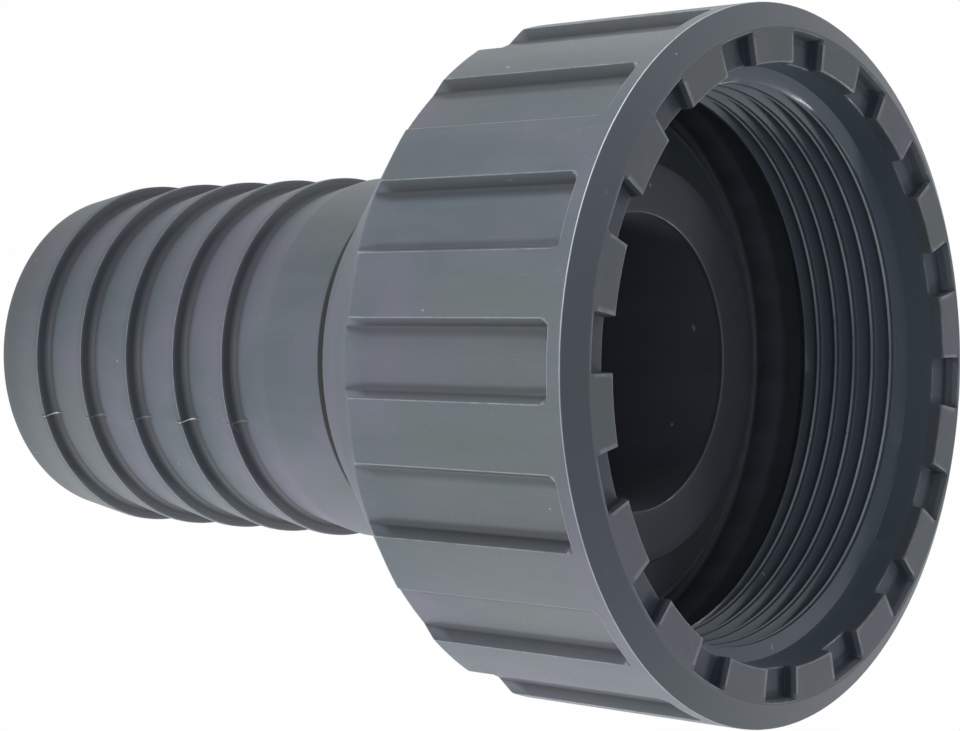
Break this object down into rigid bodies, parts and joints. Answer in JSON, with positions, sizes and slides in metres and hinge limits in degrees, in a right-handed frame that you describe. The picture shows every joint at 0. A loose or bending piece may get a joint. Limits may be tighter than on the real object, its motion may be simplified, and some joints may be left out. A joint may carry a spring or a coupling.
{
  "type": "hose tail",
  "caption": "Barbed hose tail with a captive union nut, a flat sealing face and an internal pipe thread.",
  "frame": {"origin": "centre of the tail's tip, in the plane that the fitting stands on", "axes": "+Z along the waterway, from the hose end to the mouth of the union nut"},
  "size_m": [0.072, 0.072, 0.0996],
  "materials": {
    "tail_pvc": "satin dark grey moulded PVC-U",
    "nut_pvc": "satin dark grey moulded PVC-U"
  },
  "bodies": {
    "tail": {"hose_tail": "tail_pvc"},
    "nut": {"union_nut": "nut_pvc"}
  },
  "joints": [
    {"name": "nut_spin", "type": "hinge", "parent": "tail", "child": "nut", "pos_m": [0, 0, 0.0735], "axis": [0, 0, 1], "continuous": true}
  ]
}
